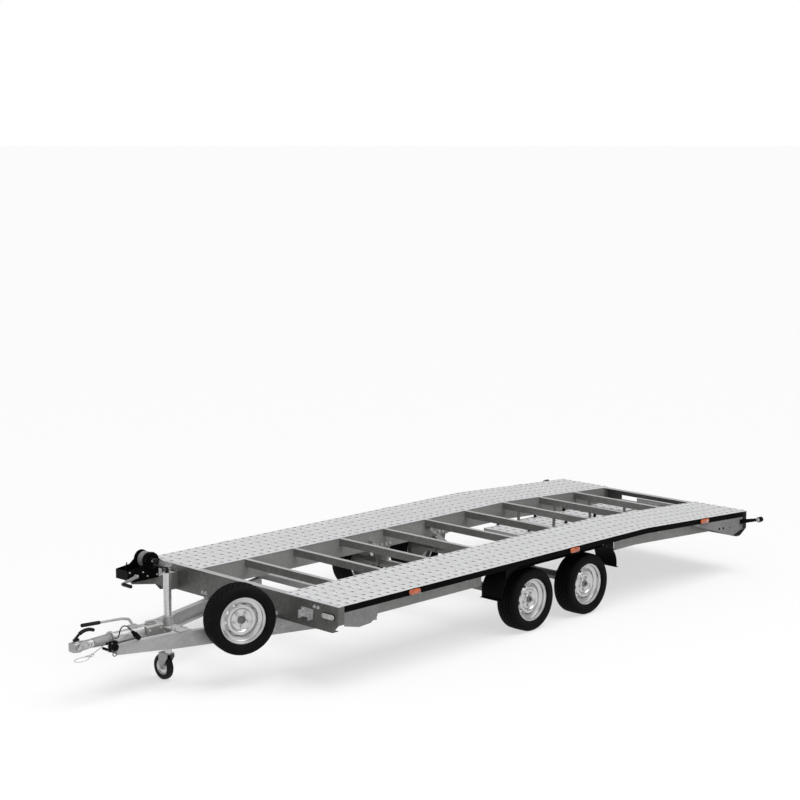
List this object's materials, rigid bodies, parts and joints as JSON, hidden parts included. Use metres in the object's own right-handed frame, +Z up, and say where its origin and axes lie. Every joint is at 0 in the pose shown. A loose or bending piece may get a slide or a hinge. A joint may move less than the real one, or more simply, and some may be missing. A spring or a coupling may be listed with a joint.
{
  "type": "tandem axle car transport trailer",
  "caption": "Flat car transporter with two kinked perforated runways, tandem axles, V drawbar with overrun ball coupling, jockey wheel, hand winch, spare wheel and stowed ramps.",
  "frame": {"origin": "on the floor under the middle of the overall box", "axes": "+X towards the coupling, +Y to the left side, +Z up"},
  "size_m": [6.83, 2.6238, 0.908],
  "materials": {
    "galvanised": "hot-dip galvanised",
    "black_paint": "satin black",
    "black_plastic": "grained",
    "rim_paint": "silver",
    "tyre": "matte",
    "jockey_rubber": "matte",
    "cast_iron": "rough cast",
    "zinc_cast": "zinc plated",
    "bellows_rubber": "matte",
    "grip_rubber": "matte",
    "lamp_lens": "glossy",
    "amber_lens": "glossy",
    "plate_white": "satin",
    "shock_steel": "satin",
    "webbing": "woven",
    "wire": "stranded"
  },
  "bodies": {
    "chassis": {"axle_front": "galvanised", "axle_rear": "galvanised", "bellows": "bellows_rubber", "brake_cover": "galvanised", "breakaway_cable": "wire", "coupling_handle": "black_paint", "coupling_head": "zinc_cast", "cross_members": "galvanised", "drawbar_crossbeam": "galvanised", "drawbar_left": "galvanised", "drawbar_right": "galvanised", "front_beam": "galvanised", "handbrake_grip": "grip_rubber", "handbrake_lever": "galvanised", "jockey_clamp": "galvanised", "jockey_crank": "galvanised", "jockey_outer_tube": "galvanised", "long_beams_left": "galvanised", "long_beams_right": "galvanised", "marker_lamps": "amber_lens", "mudguard_left": "black_plastic", "mudguard_right": "black_plastic", "number_plate": "plate_white", "overrun_housing": "zinc_cast", "plug": "black_plastic", "plug_cable": "grip_rubber", "position_lamps": "grip_rubber", "ramp_guides": "galvanised", "ramps": "galvanised", "rear_beam": "galvanised", "runway_left": "galvanised", "runway_right": "galvanised", "shock_absorbers": "shock_steel", "side_rail_left": "galvanised", "side_rail_right": "galvanised", "spare_carrier": "black_paint", "spare_rim": "rim_paint", "spare_tyre": "tyre", "tail_lamps": "lamp_lens", "winch_bracket": "galvanised", "winch_crank": "black_paint", "winch_drum": "webbing", "winch_frame": "black_paint"},
    "wheel_front_left": {"rim_front_left": "rim_paint", "tyre_front_left": "tyre", "drum_front_left": "cast_iron"},
    "wheel_front_right": {"rim_front_right": "rim_paint", "tyre_front_right": "tyre", "drum_front_right": "cast_iron"},
    "wheel_rear_left": {"rim_rear_left": "rim_paint", "tyre_rear_left": "tyre", "drum_rear_left": "cast_iron"},
    "wheel_rear_right": {"rim_rear_right": "rim_paint", "tyre_rear_right": "tyre", "drum_rear_right": "cast_iron"},
    "jockey_leg": {"jockey_inner_tube": "galvanised"},
    "jockey_fork": {"jockey_fork": "galvanised"},
    "jockey_wheel": {"jockey_rim": "rim_paint", "jockey_tyre": "jockey_rubber"}
  },
  "joints": [
    {"name": "front_left_wheel_spin", "type": "hinge", "parent": "chassis", "child": "wheel_front_left", "pos_m": [-0.378, 0.985, 0.2625], "axis": [0, 1, 0], "continuous": true},
    {"name": "front_right_wheel_spin", "type": "hinge", "parent": "chassis", "child": "wheel_front_right", "pos_m": [-0.378, -0.985, 0.2625], "axis": [0, 1, 0], "continuous": true},
    {"name": "rear_left_wheel_spin", "type": "hinge", "parent": "chassis", "child": "wheel_rear_left", "pos_m": [-1.104, 0.985, 0.2625], "axis": [0, 1, 0], "continuous": true},
    {"name": "rear_right_wheel_spin", "type": "hinge", "parent": "chassis", "child": "wheel_rear_right", "pos_m": [-1.104, -0.985, 0.2625], "axis": [0, 1, 0], "continuous": true},
    {"name": "jockey_lift", "type": "slide", "parent": "chassis", "child": "jockey_leg", "axis": [0, 0, 1], "range_m": [-0.12, 0.11]},
    {"name": "jockey_swivel", "type": "hinge", "parent": "jockey_leg", "child": "jockey_fork", "pos_m": [2.554, 0, 0.214], "axis": [0, 0, 1], "continuous": true},
    {"name": "jockey_wheel_spin", "type": "hinge", "parent": "jockey_fork", "child": "jockey_wheel", "pos_m": [2.554, -0.062, 0.098], "axis": [1, 0, 0], "continuous": true}
  ]
}
